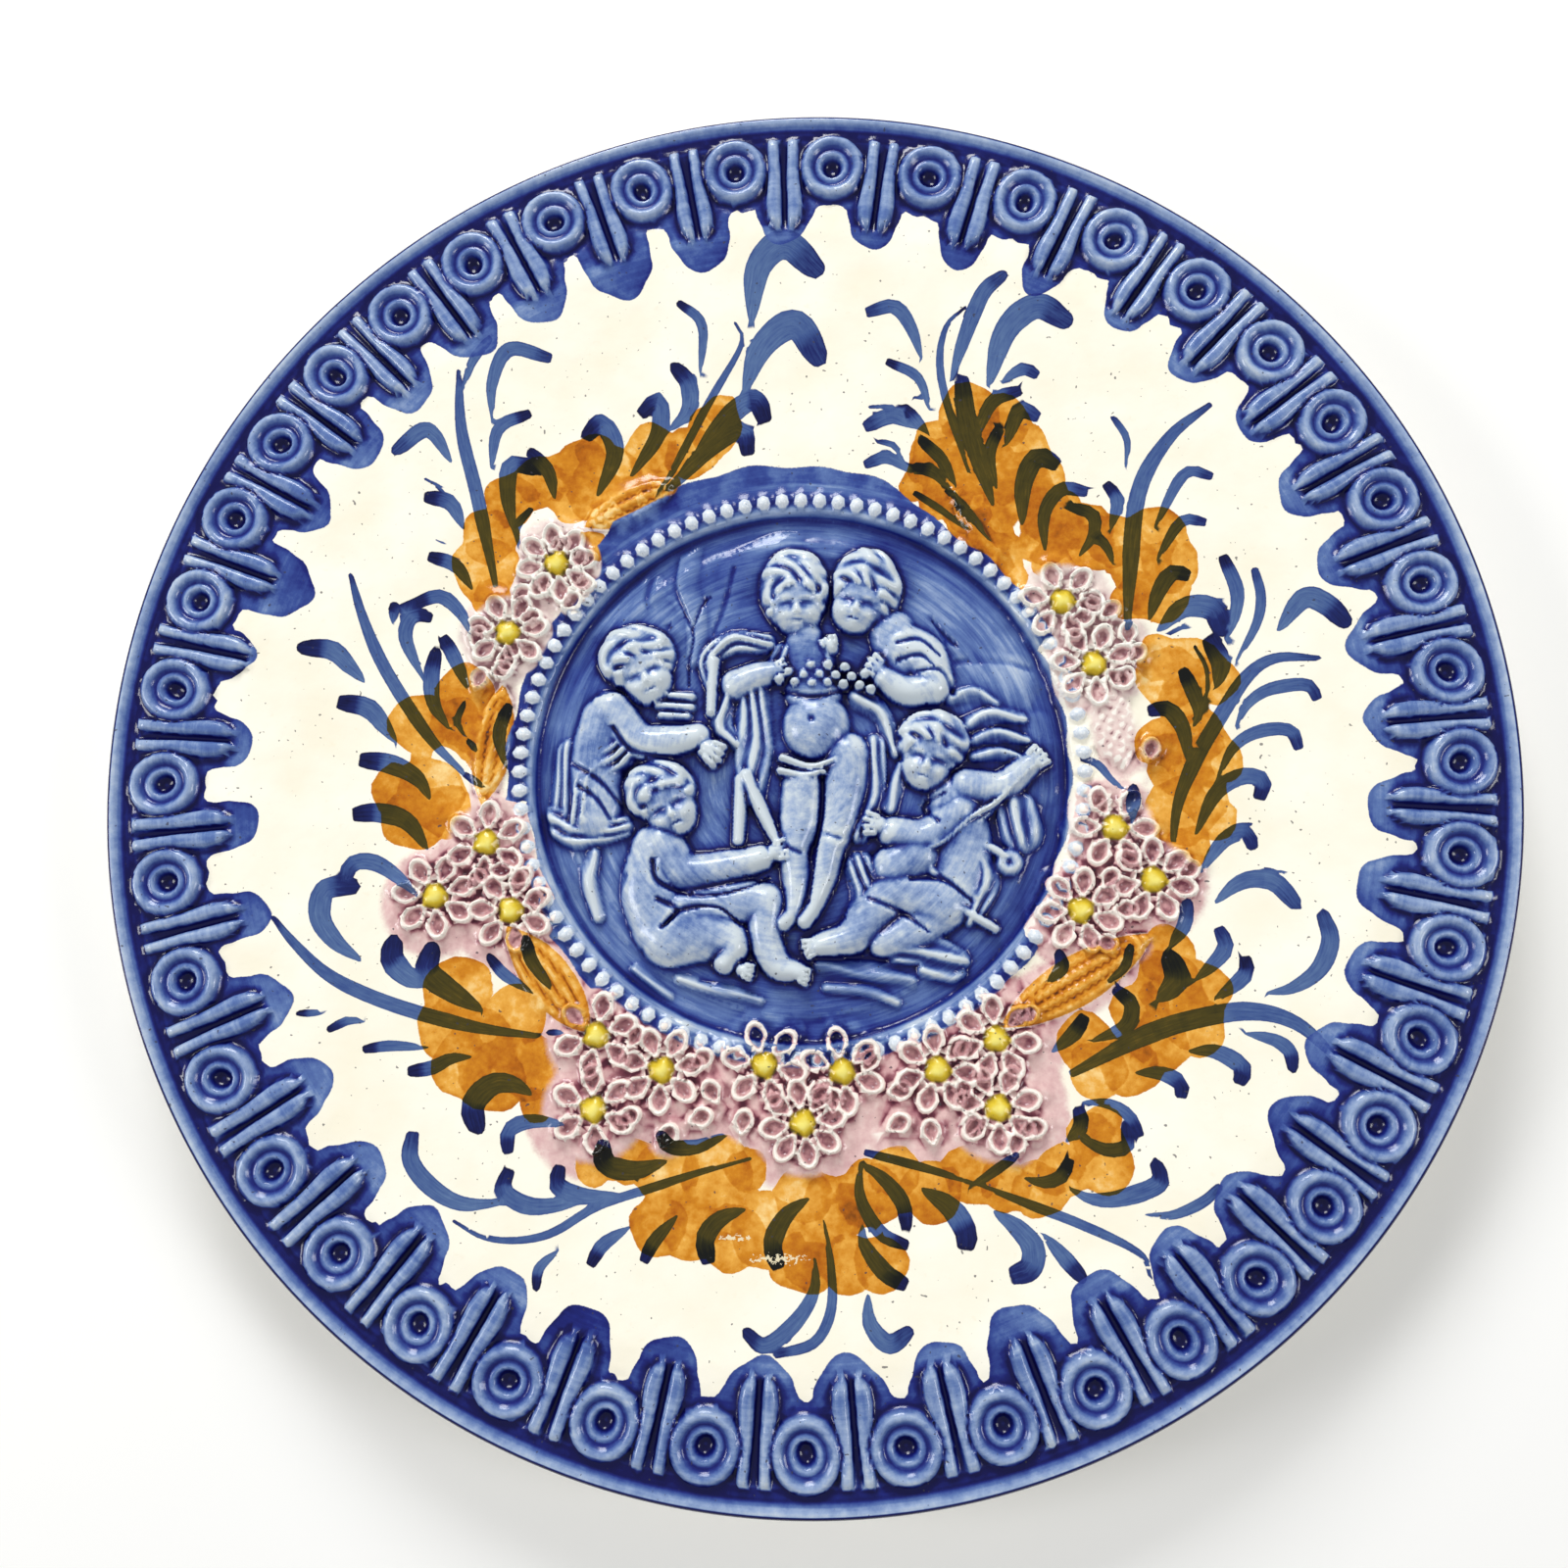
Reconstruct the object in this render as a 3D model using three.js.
// A relief-moulded wall charger of glazed earthenware, lying on its foot ring.
// Millimetres, +Z up, origin on the table under the middle of the foot.
// The plate is one body. Its face is a height over the plan, so the face and the underside are each a net
// of points placed on the carving, joined into triangles and sewn together at the lip.
import * as THREE from 'three';

// Body
const PLATE_ACROSS = 400;
const WALL = 8.5;
const FOOT_ACROSS = 204;
const FOOT_WIDTH = 7;
const FOOT_HEIGHT = 5.5;
const FOOT_TAPER = 2;
const FIELD_RISE = 8.5;
const RIM_RISE = 1.6;
const LIP_WIDTH = 6.5;
const LIP_RISE = 1.7;

// Egg-and-dart border
const EGG_COUNT = 42;
const EGG_ACROSS = 19.6;
const EGG_RISE = 3.2;
const EGG_INSET = 16.5;
const EGG_FIRST_DEG = 2.1;
const EGG_DRIFT_DEG = [[1.97, 1.09], [-1.14, 0.66], [-0.04, 0.65]];
const DART_LENGTH = 29;
const DART_SPREAD = 3;
const DART_RISE = 2.9;
const BORDER_WIDTH = 30;

// Medallion and its ring of beads
const MEDALLION_ACROSS = 156;
const MEDALLION_DEPTH = 2.6;
const COLLAR_WIDTH = 8;
const BEAD_COUNT = 92;
const BEAD_ACROSS = 4;
const BEAD_RISE = 2.2;
const COVE_WIDTH = 4;
const COVE_DEPTH = 0.8;

// Children in the medallion. Places are in hundredths of the medallion's radius.
const HEAD_RISE = 6.4;
const LIMB_RISE = 4.6;
const TRUNK_RISE = 5;
const HAIR_RISE = 0.9;
const CLOTH_RISE = 2.6;
const GROUND_RISE = 1.4;
const HEAD_RADIUS = 10.4;
const ARM_RADII = [5.3, 4.7, 3.6];
const LEG_RADII = [7.4, 5.8, 4, 3];
const TRUNK_RADII = [8.6, 10, 7.6];

// Garland
const FLOWER_ACROSS = 24;
const FLOWER_DOME = 8.6;
const FLOWER_DOME_RISE = 2.8;
const PETAL_RISE = 2.1;
const PETAL_HOLLOW = 1.7;
const GARLAND_BED_RISE = 0.9;
const GARLAND_BED_MARGIN = 4;
const LEAF_RISE = 2.6;

// Net of points
const CLOSEST_POINTS = 1.7;
const BORDER_GAP = 1;
const FIGURE_STEP = 5.6;
const FIELD_STEP = 16;
const MEDALLION_STEP = 8;
const FOOT_SIDES = 48;

const plateRadius = PLATE_ACROSS / 2;
const footRadius = FOOT_ACROSS / 2;
const medallionRadius = MEDALLION_ACROSS / 2;
const beadRadius = medallionRadius + COLLAR_WIDTH / 2;
const fieldInner = medallionRadius + COLLAR_WIDTH;
const lipGroove = plateRadius - LIP_WIDTH;
const fieldOuter = Math.max(lipGroove - BORDER_WIDTH, fieldInner + 1);
const eggRadius = plateRadius - EGG_INSET;
const floorHeight = FOOT_HEIGHT + WALL;

// Each child has a head, a trunk from chest to hips, arms from shoulder to hand and legs from hip to toe.
const PUTTI = [
  {
    head: [-2, 66], face: [0.5, -4],
    trunk: [[3, 42], [6, 18], [4, 2]],
    arms: [[[-12, 46], [-33, 39], [-10, 34]], [[14, 46], [24, 46], [30, 41]]],
    legs: [[[0, -4], [0, -21], [-1, -40], [-3, -54]], [[14, -3], [13, -21], [8, -41], [4, -52]]],
  },
  {
    head: [24, 68], face: [-3, -5],
    trunk: [[38, 50], [36, 30], [34, 10]],
    arms: [[[40, 54], [52, 35], [29, 32]]],
    legs: [],
  },
  {
    head: [-62, 41], face: [5, -5],
    trunk: [[-69, 21], [-71, 6], [-70, -10]],
    arms: [[[-71, 26], [-59, 12], [-36, 9]]],
    legs: [],
  },
  {
    head: [-52, -11], face: [6, -4],
    trunk: [[-56, -32], [-56, -48], [-51, -60]],
    arms: [[[-53, -31], [-40, -40], [-12, -32]]],
    legs: [[[-43, -51], [-18, -48], [-12, -68], [1, -76]], [[-47, -61], [-27, -59], [-22, -67], [-20, -70]]],
  },
  {
    head: [49, 11], face: [-3, -6],
    trunk: [[50, -12], [53, -28], [52, -42]],
    arms: [[[43, -11], [30, -21], [48, -25]], [[58, -8], [70, -2], [83, 3]]],
    legs: [[[50, -46], [31, -48], [18, -61], [5, -65]], [[52, -44], [60, -56], [74, -56], [78, -50]]],
  },
];

// Cloth, instruments and setting: a line of places, a half width in millimetres and a rise.
const STRANDS = [
  { line: [[-22, 31], [-19, 10], [-22, -8]], half: 2.6, rise: CLOTH_RISE },
  { line: [[-15, 28], [-15, 8], [-10, -7]], half: 2.2, rise: CLOTH_RISE },
  { line: [[-31, 25], [-28, 14]], half: 3, rise: CLOTH_RISE },
  { line: [[22, 26], [27, 5], [35, -11]], half: 2.4, rise: CLOTH_RISE },
  { line: [[30, 22], [36, 3]], half: 2.6, rise: CLOTH_RISE },
  { line: [[-9, 5], [1, 2], [12, 4]], half: 2.2, rise: TRUNK_RISE },
  { line: [[-81, 20], [-85, 0], [-79, -16]], half: 3.4, rise: CLOTH_RISE },
  { line: [[-66, 7], [-81, -8]], half: 1.8, rise: LIMB_RISE },
  { line: [[-90, -16], [-82, -22]], half: 3.6, rise: CLOTH_RISE },
  { line: [[-77, -25], [-78, -54]], half: 3, rise: GROUND_RISE },
  { line: [[-55, 30], [-40, 30]], half: 1.7, rise: CLOTH_RISE },
  { line: [[-54, 25], [-41, 25]], half: 1.7, rise: CLOTH_RISE },
  { line: [[-21, -7], [-22, -25]], half: 2.4, rise: CLOTH_RISE },
  { line: [[-19, -4], [-4, -32]], half: 2.2, rise: LIMB_RISE },
  { line: [[-11, 33], [2, 31], [12, 33], [23, 37]], half: 2.6, rise: HEAD_RISE },
  { line: [[26, -34], [20, -48]], half: 4.6, rise: LIMB_RISE },
  { line: [[34, -34], [43, -38], [54, -35]], half: 5, rise: TRUNK_RISE },
  { line: [[54, -35], [72, -11], [85, 1]], half: 2.8, rise: LIMB_RISE },
  { line: [[81, -12], [80, -22]], half: 5.4, rise: CLOTH_RISE },
  { line: [[63, -24], [72, -34], [77, -33]], half: 3, rise: CLOTH_RISE },
  { line: [[63, 13], [80, 20]], half: 2.6, rise: CLOTH_RISE },
  { line: [[63, 7], [78, 11]], half: 2.4, rise: CLOTH_RISE },
  { line: [[56, 28], [64, 31], [70, 28]], half: 2, rise: CLOTH_RISE },
  { line: [[38, -65], [56, -70]], half: 4.4, rise: CLOTH_RISE },
  { line: [[8, -72], [30, -73], [48, -79]], half: 2.6, rise: GROUND_RISE },
  { line: [[-42, -77], [-16, -85]], half: 2.2, rise: GROUND_RISE },
  { line: [[-46, 83], [-47, 64], [-38, 48]], half: 3.6, rise: GROUND_RISE },
  { line: [[-34, 81], [-34, 66], [-40, 50], [-41, 36]], half: 3.6, rise: GROUND_RISE },
  { line: [[-21, 69], [-18, 84], [-6, 91], [10, 90], [23, 86]], half: 2.8, rise: GROUND_RISE },
  { line: [[44, 77], [60, 84]], half: 2, rise: GROUND_RISE },
  { line: [[55, 49], [80, 46]], half: 2, rise: GROUND_RISE },
];

// Flowers: place, number of petals and the bearing of the first petal in degrees.
const FLOWERS = [
  [-73, -97, 6, 20], [-49, -109, 7, 10], [-73, -123, 6, 35], [-12, -107, 6, 48], [16, -109, 6, 40],
  [2, -127, 8, -35], [50, -108, 7, 45], [71, -97, 7, 45], [71, -121, 7, 15], [-93, 80, 8, 10],
  [-111, 53, 7, 12], [-116, -27, 6, 27], [-134, -47, 7, 20], [-106, -52, 7, 25], [98, 64, 6, 50],
  [109, 40, 7, 20], [115, -21, 6, -62], [128, -40, 7, 38], [102, -51, 7, 30],
];

// Leaves of the garland: foot and tip, half width in millimetres and number of ribs.
const LEAVES = [
  [-113, 28, -118, -8, 6, 3], [-79, 97, -51, 111, 5.5, 2], [-79, -92, -104, -62, 7, 4],
  [79, -89, 122, -63, 7, 4], [76, 84, 59, 107, 4.5, 2], [113, 31, 118, 5, 7.5, 2],
];

function place([x, y]) {
  return [x * medallionRadius / 100, y * medallionRadius / 100];
}

function smoothStep(t) {
  const s = Math.min(Math.max(t, 0), 1);
  return s * s * (3 - 2 * s);
}

function dome(share) {
  return share < 1 ? Math.sqrt(1 - share * share) : 0;
}

// Plain turned form of the face, before any carving.
function faceHeight(r) {
  const wall = smoothStep((r - medallionRadius + BEAD_ACROSS / 4) / (BEAD_ACROSS / 2));
  const fieldShare = Math.min(Math.max((r - fieldInner) / (fieldOuter - fieldInner), 0), 1);
  const rimShare = Math.min(Math.max((r - fieldOuter) / Math.max(lipGroove - fieldOuter, 1), 0), 1);
  const cove = dome(Math.abs(r - medallionRadius + COVE_WIDTH) / COVE_WIDTH);
  return floorHeight + MEDALLION_DEPTH * wall - COVE_DEPTH * cove
    + FIELD_RISE * fieldShare ** 1.4 + RIM_RISE * rimShare;
}

function lipHeight(r) {
  const across = 2 * (r - lipGroove) / LIP_WIDTH - 1;
  return faceHeight(Math.min(r, lipGroove)) + LIP_RISE * dome(Math.abs(across) ** 1.5);
}

// Plain form of the underside: flat inside the foot, then one wall's thickness under the face.
function undersideHeight(r) {
  const edge = faceHeight(lipGroove);
  const shell = faceHeight(Math.max(Math.min(r, lipGroove), fieldInner)) - WALL;
  const turn = Math.min(Math.max((r - lipGroove) / LIP_WIDTH, 0), 1);
  const outside = shell + (edge - shell) * (1 - dome(turn));
  return r < footRadius - FOOT_WIDTH / 2 ? FOOT_HEIGHT : outside;
}

function eggBearing(index) {
  const even = 2 * Math.PI * index / EGG_COUNT;
  let drift = EGG_FIRST_DEG;
  EGG_DRIFT_DEG.forEach(([level, slope], order) => {
    const turn = (order + 1) * even;
    drift += level * Math.cos(turn) + slope * Math.sin(turn);
  });
  return even + drift * Math.PI / 180;
}

function dartBearing(index) {
  const next = index + 1 < EGG_COUNT ? eggBearing(index + 1) : eggBearing(0) + 2 * Math.PI;
  return (eggBearing(index) + next) / 2;
}

// Place at a bearing from the top of the plate, moved outward and sideways in the border's own directions.
function borderPlace(bearing, outward, sideways) {
  const r = eggRadius + outward;
  return [
    r * Math.sin(bearing) + sideways * Math.cos(bearing),
    r * Math.cos(bearing) - sideways * Math.sin(bearing),
  ];
}

const eggHalf = EGG_ACROSS / 2;
const DART_STATIONS = [
  { share: 0, spread: 1.15, groove: -0.1, side: 0 },
  { share: 0.14, spread: 1, groove: null, side: 0 },
  { share: 0.28, spread: 0.95, groove: -0.1, side: 0 },
  { share: 0.41, spread: 1, groove: null, side: 0 },
  { share: 0.55, spread: 1.1, groove: -0.1, side: 0 },
  { share: 0.72, spread: 1.05, groove: -0.1, side: 1.75 },
  { share: 0.86, spread: 0.5, groove: 0.7, side: 1.3 },
];
const EGG_RINGS = [
  { share: 0, points: 1, rise: -0.5 },
  { share: 0.4, points: 5, rise: 0.7 },
  { share: 0.58, points: 5, rise: 0.05 },
  { share: 0.79, points: 8, rise: 1 },
  { share: 1, points: 8, rise: -0.2 },
];

const points = [];
const cells = new Map();

function cellKey(x, y) {
  return `${Math.floor(x / CLOSEST_POINTS)},${Math.floor(y / CLOSEST_POINTS)}`;
}

function isFree(x, y, gap) {
  const reach = Math.ceil(gap / CLOSEST_POINTS);
  for (let i = -reach; i <= reach; i += 1) {
    for (let j = -reach; j <= reach; j += 1) {
      const near = cells.get(cellKey(x + i * CLOSEST_POINTS, y + j * CLOSEST_POINTS)) ?? [];
      if (near.some((p) => Math.hypot(p[0] - x, p[1] - y) < gap)) {
        return false;
      }
    }
  }
  return true;
}

function addPoint(x, y, z, gap = CLOSEST_POINTS) {
  if (!isFree(x, y, gap)) {
    return;
  }
  const point = [x, y, z];
  const key = cellKey(x, y);
  points.push(point);
  cells.set(key, [...(cells.get(key) ?? []), point]);
}

function addRing(centre, radius, count, height, gap = CLOSEST_POINTS, turn = 0) {
  for (let i = 0; i < count; i += 1) {
    const angle = turn + 2 * Math.PI * i / count;
    const x = centre[0] + radius * Math.sin(angle);
    const y = centre[1] + radius * Math.cos(angle);
    addPoint(x, y, height(x, y), gap);
  }
}

// Carving of the medallion: the highest of all the rounded limbs that cover a place.
const limbs = [];

function addLimb(line, halves, rise) {
  const spots = line.map(place);
  for (let i = 0; i + 1 < spots.length; i += 1) {
    const start = halves[Math.min(i, halves.length - 1)];
    const end = halves[Math.min(i + 1, halves.length - 1)];
    limbs.push({ from: spots[i], to: spots[i + 1], start, end, rise });
  }
}

function limbRise(limb, x, y) {
  const [dx, dy] = [limb.to[0] - limb.from[0], limb.to[1] - limb.from[1]];
  const along = ((x - limb.from[0]) * dx + (y - limb.from[1]) * dy) / (dx * dx + dy * dy);
  const t = Math.min(Math.max(along, 0), 1);
  const half = limb.start + (limb.end - limb.start) * t;
  const away = Math.hypot(x - limb.from[0] - t * dx, y - limb.from[1] - t * dy);
  return limb.rise * dome(away / half);
}

function headRise(child, x, y) {
  const [cx, cy] = place(child.head);
  const away = Math.hypot(x - cx, (y - cy) / 1.12);
  const fx = x - cx - child.face[0];
  const fy = y - cy - child.face[1];
  const hair = smoothStep(Math.hypot(fx, fy) / 3 - 2);
  return HEAD_RISE * dome(away / HEAD_RADIUS) + (away < HEAD_RADIUS ? HAIR_RISE * hair : 0);
}

PUTTI.forEach((child) => {
  addLimb(child.trunk, TRUNK_RADII, TRUNK_RISE);
  child.arms.forEach((line) => addLimb(line, ARM_RADII, LIMB_RISE));
  child.legs.forEach((line) => addLimb(line, LEG_RADII, LIMB_RISE));
});
STRANDS.forEach((strand) => addLimb(strand.line, [strand.half], strand.rise));

function medallionHeight(x, y) {
  const carved = limbs.map((limb) => limbRise(limb, x, y)).concat(PUTTI.map((child) => headRise(child, x, y)));
  return faceHeight(Math.hypot(x, y)) + Math.max(...carved);
}

// Garland: a low bed under the flowers and leaves, petals as raised loops round a hollow, and ribbed leaves.
const petals = [];
const petalReach = (FLOWER_ACROSS + FLOWER_DOME) / 4;
const petalHalfLength = (FLOWER_ACROSS - FLOWER_DOME) / 4;
FLOWERS.forEach(([x, y, count, turn]) => {
  const centre = place([x, y]);
  for (let i = 0; i < count; i += 1) {
    const angle = (turn + 360 * i / count) * Math.PI / 180;
    const heading = [Math.cos(angle), Math.sin(angle)];
    const halfWidth = Math.min(petalHalfLength * 0.8, petalReach * Math.sin(Math.PI / count) * 0.92);
    const middle = [centre[0] + petalReach * heading[0], centre[1] + petalReach * heading[1]];
    petals.push({ middle, heading, halfWidth });
  }
});

function bedHeight(x, y) {
  let cover = 0;
  FLOWERS.forEach((flower) => {
    const centre = place(flower);
    const over = FLOWER_ACROSS / 2 + GARLAND_BED_MARGIN - Math.hypot(x - centre[0], y - centre[1]);
    cover = Math.max(cover, smoothStep(over / GARLAND_BED_MARGIN));
  });
  return faceHeight(Math.hypot(x, y)) + GARLAND_BED_RISE * cover;
}

function addPetals() {
  petals.forEach(({ middle, heading, halfWidth }) => {
    const [mx, my] = middle;
    addPoint(mx, my, bedHeight(mx, my) + PETAL_RISE - PETAL_HOLLOW);
    const loop = [[1, 0], [0.25, 1], [0.25, -1]];
    loop.forEach(([forward, aside]) => {
      const ahead = forward * petalHalfLength * 0.85;
      const across = aside * halfWidth * 0.85;
      const x = mx + ahead * heading[0] - across * heading[1];
      const y = my + ahead * heading[1] + across * heading[0];
      addPoint(x, y, bedHeight(x, y) + PETAL_RISE);
    });
    const x = mx + 1.35 * petalHalfLength * heading[0];
    const y = my + 1.35 * petalHalfLength * heading[1];
    addPoint(x, y, bedHeight(x, y), 2 * CLOSEST_POINTS);
  });
}

function addFlowerDomes() {
  FLOWERS.forEach((flower) => {
    const centre = place(flower);
    addPoint(centre[0], centre[1], bedHeight(...centre) + FLOWER_DOME_RISE);
    addRing(centre, FLOWER_DOME / 2, 6, (x, y) => bedHeight(x, y) + FLOWER_DOME_RISE * 0.35);
  });
}

function addLeaves() {
  LEAVES.forEach(([x1, y1, x2, y2, half, ribs]) => {
    const foot = place([x1, y1]);
    const tip = place([x2, y2]);
    const length = Math.hypot(tip[0] - foot[0], tip[1] - foot[1]);
    const heading = [(tip[0] - foot[0]) / length, (tip[1] - foot[1]) / length];
    const stations = Math.max(Math.round(length / FIGURE_STEP), 2);
    const lanes = 2 * ribs + 1;
    for (let i = 0; i <= stations; i += 1) {
      const width = half * Math.sin(Math.PI * (0.12 + 0.8 * i / stations)) ** 0.6;
      for (let lane = 0; lane < lanes; lane += 1) {
        const aside = width * (2 * lane / (lanes - 1) - 1);
        const x = foot[0] + heading[0] * length * i / stations - heading[1] * aside;
        const y = foot[1] + heading[1] * length * i / stations + heading[0] * aside;
        const outer = lane === 0 || lane === lanes - 1;
        const crest = outer ? 0 : LEAF_RISE * (lane % 2 === 1 ? 1 : 0.6);
        addPoint(x, y, bedHeight(x, y) + crest);
      }
    }
  });
}

function addLip() {
  const crest = plateRadius - LIP_WIDTH / 2;
  addRing([0, 0], crest, 2 * EGG_COUNT, () => lipHeight(crest), 0);
  for (let i = 0; i < EGG_COUNT; i += 1) {
    [eggBearing(i), dartBearing(i)].forEach((bearing) => {
      const [x, y] = borderPlace(bearing, lipGroove - eggRadius, 0);
      addPoint(x, y, faceHeight(lipGroove), 0);
    });
  }
}

function addEggs() {
  for (let i = 0; i < EGG_COUNT; i += 1) {
    const bearing = eggBearing(i);
    EGG_RINGS.forEach(({ share, points: count, rise }) => {
      for (let k = 0; k < count; k += 1) {
        const angle = 2 * Math.PI * (k + 0.5) / count;
        const outward = share * eggHalf * Math.cos(angle);
        const [x, y] = borderPlace(bearing, outward, share * eggHalf * Math.sin(angle));
        const r = Math.hypot(x, y);
        if (r < lipGroove - BORDER_GAP) {
          addPoint(x, y, faceHeight(r) + EGG_RISE * rise, BORDER_GAP);
        }
      }
    });
  }
}

// A dart: two ribs beside a groove, closing in a round tongue at the field end.
function addDarts() {
  const start = lipGroove - eggRadius - DART_SPREAD / 2;
  for (let i = 0; i < EGG_COUNT; i += 1) {
    const bearing = dartBearing(i);
    const put = (share, sideways, rise) => {
      const [x, y] = borderPlace(bearing, start - share * DART_LENGTH, sideways);
      addPoint(x, y, faceHeight(Math.hypot(x, y)) + rise, BORDER_GAP / 2);
    };
    DART_STATIONS.forEach(({ share, spread, groove, side }) => {
      put(share, -spread * DART_SPREAD, DART_RISE);
      put(share, spread * DART_SPREAD, DART_RISE);
      if (groove !== null) {
        put(share, 0, groove * DART_RISE);
      }
      if (side) {
        put(share, -side * DART_SPREAD, 0);
        put(share, side * DART_SPREAD, 0);
      }
    });
    put(1, 0, 0);
  }
}

function addBeads() {
  const pitch = Math.PI / BEAD_COUNT;
  const inner = beadRadius - 0.6 * BEAD_ACROSS;
  const outer = beadRadius + 0.6 * BEAD_ACROSS;
  addRing([0, 0], beadRadius, BEAD_COUNT, () => faceHeight(beadRadius) + BEAD_RISE, 1);
  addRing([0, 0], beadRadius, BEAD_COUNT, () => faceHeight(beadRadius) + BEAD_RISE * 0.25, 1, pitch);
  addRing([0, 0], outer, Math.round(BEAD_COUNT / 2), () => faceHeight(outer), 1, pitch);
  addRing([0, 0], inner, Math.round(BEAD_COUNT / 2), () => faceHeight(inner), 1, pitch);
  const cove = medallionRadius - COVE_WIDTH / 2;
  addRing([0, 0], cove, Math.round(BEAD_COUNT / 2), () => faceHeight(cove), CLOSEST_POINTS);
}

function addHeads() {
  PUTTI.forEach((child) => {
    const centre = place(child.head);
    addPoint(centre[0], centre[1], medallionHeight(...centre));
    const brow = [centre[0] + child.face[0], centre[1] + child.face[1]];
    addRing(brow, HEAD_RADIUS * 0.35, 4, medallionHeight);
    addRing(brow, HEAD_RADIUS * 0.6, 7, medallionHeight);
    addRing(centre, HEAD_RADIUS * 0.88, 10, medallionHeight);
    addRing(centre, HEAD_RADIUS * 1.06, 12, medallionHeight);
  });
}

function addLimbs() {
  limbs.forEach((limb) => {
    const [dx, dy] = [limb.to[0] - limb.from[0], limb.to[1] - limb.from[1]];
    const length = Math.hypot(dx, dy);
    const stations = Math.max(Math.round(length / FIGURE_STEP), 1);
    for (let i = 0; i <= stations; i += 1) {
      const t = i / stations;
      const half = limb.start + (limb.end - limb.start) * t;
      const broad = half > 2.5 * CLOSEST_POINTS;
      (broad ? [0, -0.72, 0.72, -1.06, 1.06] : [0, -1.06, 1.06]).forEach((aside) => {
        const x = limb.from[0] + dx * t - dy / length * aside * half;
        const y = limb.from[1] + dy * t + dx / length * aside * half;
        if (Math.hypot(x, y) < medallionRadius - BEAD_ACROSS) {
          addPoint(x, y, medallionHeight(x, y));
        }
      });
    }
  });
}

function addFill(step, least, most, height) {
  const rows = Math.ceil(most / (step * 0.87));
  for (let row = -rows; row <= rows; row += 1) {
    const y = row * step * 0.87;
    const shift = row % 2 === 0 ? 0 : step / 2;
    for (let x = -rows * step + shift; x <= most; x += step) {
      const r = Math.hypot(x, y);
      if (r > least && r < most) {
        addPoint(x, y, height(x, y), step * 0.62);
      }
    }
  }
}

// Delaunay net of points in plan, swept from left to right. Each point is moved by a hair while the net is
// worked out, so that no four of them lie on one circle.
function net(spots) {
  const hair = 1e-4;
  const far = 1e5;
  const plan = spots.map(([x, y], i) => [x + hair * Math.sin(37 * i), y + hair * Math.cos(53 * i)]);
  const count = plan.length;
  plan.push([-far, -far], [far, -far], [0, far]);
  const circled = (a, b, c) => {
    const [ax, ay] = plan[a];
    const [bx, by] = [plan[b][0] - ax, plan[b][1] - ay];
    const [cx, cy] = [plan[c][0] - ax, plan[c][1] - ay];
    const double = 2 * (bx * cy - by * cx);
    const x = (cy * (bx * bx + by * by) - by * (cx * cx + cy * cy)) / double;
    const y = (bx * (cx * cx + cy * cy) - cx * (bx * bx + by * by)) / double;
    return { corners: [a, b, c], x: ax + x, y: ay + y, square: x * x + y * y };
  };
  const order = spots.map((_, i) => i).sort((a, b) => plan[a][0] - plan[b][0]);
  const done = [];
  let open = [circled(count, count + 1, count + 2)];
  order.forEach((i) => {
    const [x, y] = plan[i];
    const edges = new Map();
    const kept = [];
    open.forEach((triangle) => {
      const right = x - triangle.x;
      if (right > 0 && right * right > triangle.square) {
        done.push(triangle);
      } else if (right * right + (y - triangle.y) ** 2 > triangle.square) {
        kept.push(triangle);
      } else {
        const [a, b, c] = triangle.corners;
        [[a, b], [b, c], [c, a]].forEach(([from, to]) => {
          if (!edges.delete(`${to},${from}`)) {
            edges.set(`${from},${to}`, [from, to]);
          }
        });
      }
    });
    edges.forEach(([from, to]) => kept.push(circled(from, to, i)));
    open = kept;
  });
  return done.concat(open).map((triangle) => triangle.corners).filter((corners) => Math.max(...corners) < count);
}

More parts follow.
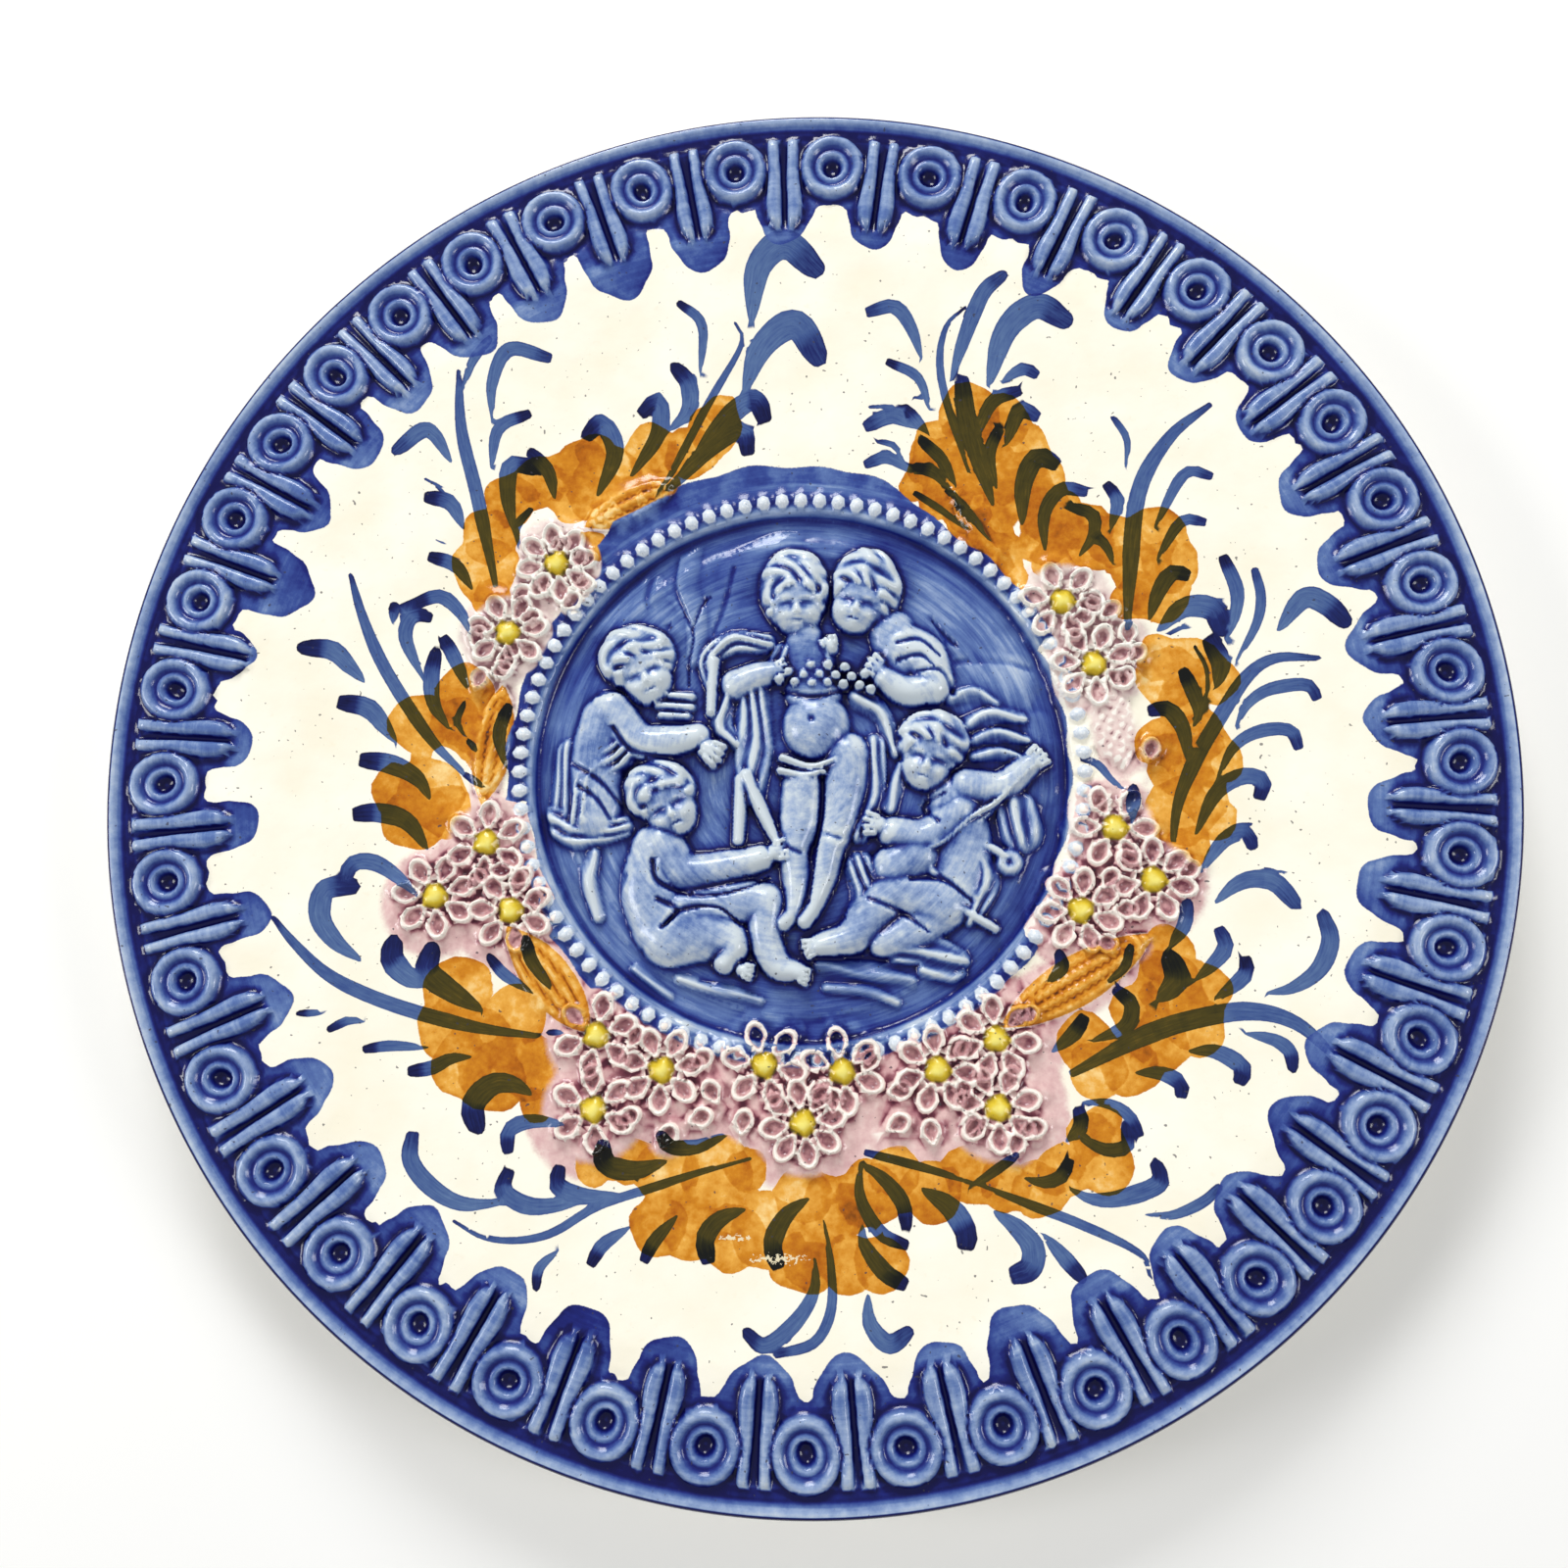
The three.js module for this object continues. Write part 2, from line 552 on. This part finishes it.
function plateGeometry() {
  const edge = [];
  const edgeCount = 2 * EGG_COUNT;
  for (let i = 0; i < edgeCount; i += 1) {
    const angle = 2 * Math.PI * (i + 0.5) / edgeCount;
    edge.push([plateRadius * Math.sin(angle), plateRadius * Math.cos(angle), faceHeight(lipGroove)]);
  }
  addLip();
  addEggs();
  addDarts();
  addBeads();
  addFlowerDomes();
  addPetals();
  addLeaves();
  addHeads();
  addLimbs();
  addFill(MEDALLION_STEP, 0, medallionRadius - COVE_WIDTH, medallionHeight);
  addFill(FIELD_STEP, fieldInner, eggRadius - EGG_ACROSS, (x, y) => faceHeight(Math.hypot(x, y)));
  const face = edge.concat(points);

  const under = [...edge];
  const ringUnder = (r, count, height) => {
    for (let i = 0; i < count; i += 1) {
      const angle = 2 * Math.PI * i / count;
      under.push([r * Math.sin(angle), r * Math.cos(angle), height]);
    }
  };
  const footInner = footRadius - FOOT_WIDTH;
  [0.4, 1].forEach((share) => {
    const r = plateRadius - LIP_WIDTH * share;
    ringUnder(r, 2 * EGG_COUNT, undersideHeight(r));
  });
  const footOuter = footRadius + FOOT_TAPER;
  [1 / 3, 2 / 3].forEach((share) => {
    const r = footOuter + (lipGroove - footOuter) * share;
    ringUnder(r, EGG_COUNT, undersideHeight(r));
  });
  ringUnder(footOuter, FOOT_SIDES, undersideHeight(footOuter));
  ringUnder(footRadius, FOOT_SIDES, 0);
  ringUnder(footInner, FOOT_SIDES, 0);
  ringUnder(footInner - FOOT_TAPER, FOOT_SIDES, FOOT_HEIGHT);
  ringUnder(footInner / 2, 12, FOOT_HEIGHT);
  under.push([0, 0, FOOT_HEIGHT]);

  const corners = [];
  net(face).forEach(([a, b, c]) => corners.push(face[a], face[b], face[c]));
  net(under).forEach(([a, b, c]) => corners.push(under[c], under[b], under[a]));
  const geometry = new THREE.BufferGeometry();
  geometry.setAttribute('position', new THREE.Float32BufferAttribute(corners.flat(), 3));
  geometry.computeVertexNormals();
  return geometry;
}

const glaze = new THREE.MeshStandardMaterial({ color: 0xf1ecd6, roughness: 0.16, metalness: 0 });
const plate = new THREE.Mesh(plateGeometry(), glaze);
plate.name = 'plate';

const group = new THREE.Group();
group.add(plate);
export default group;
